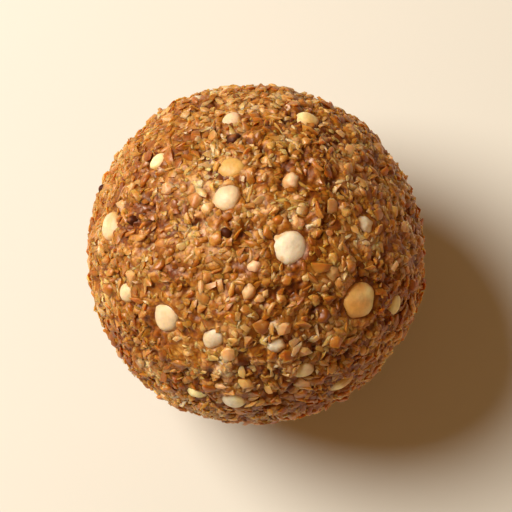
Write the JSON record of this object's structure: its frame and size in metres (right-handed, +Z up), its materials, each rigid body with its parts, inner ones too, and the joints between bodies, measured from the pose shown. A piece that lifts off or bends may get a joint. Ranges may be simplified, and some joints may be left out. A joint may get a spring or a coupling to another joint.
{
  "type": "ladoo",
  "caption": "Hand-rolled round sweet of ground nuts and seeds bound with jaggery, chopped nuts showing on its surface, resting on a small flat spot.",
  "frame": {"origin": "under the middle of the ball, on the flat spot that it rests on", "axes": "+Z up, -Y towards the viewer of the picture, +X to the picture's right"},
  "size_m": [0.0447, 0.045, 0.0441],
  "materials": {
    "ladoo_mix": "crumbly ground nuts and seeds in brown jaggery, slightly glossy with ghee",
    "nut_pieces": "pale chopped nut, cut faces matte",
    "fruit_bits": "amber chopped dried fruit and dark skin flecks, sticky"
  },
  "bodies": {
    "root": {"ladoo": "ladoo_mix"}
  },
  "joints": []
}
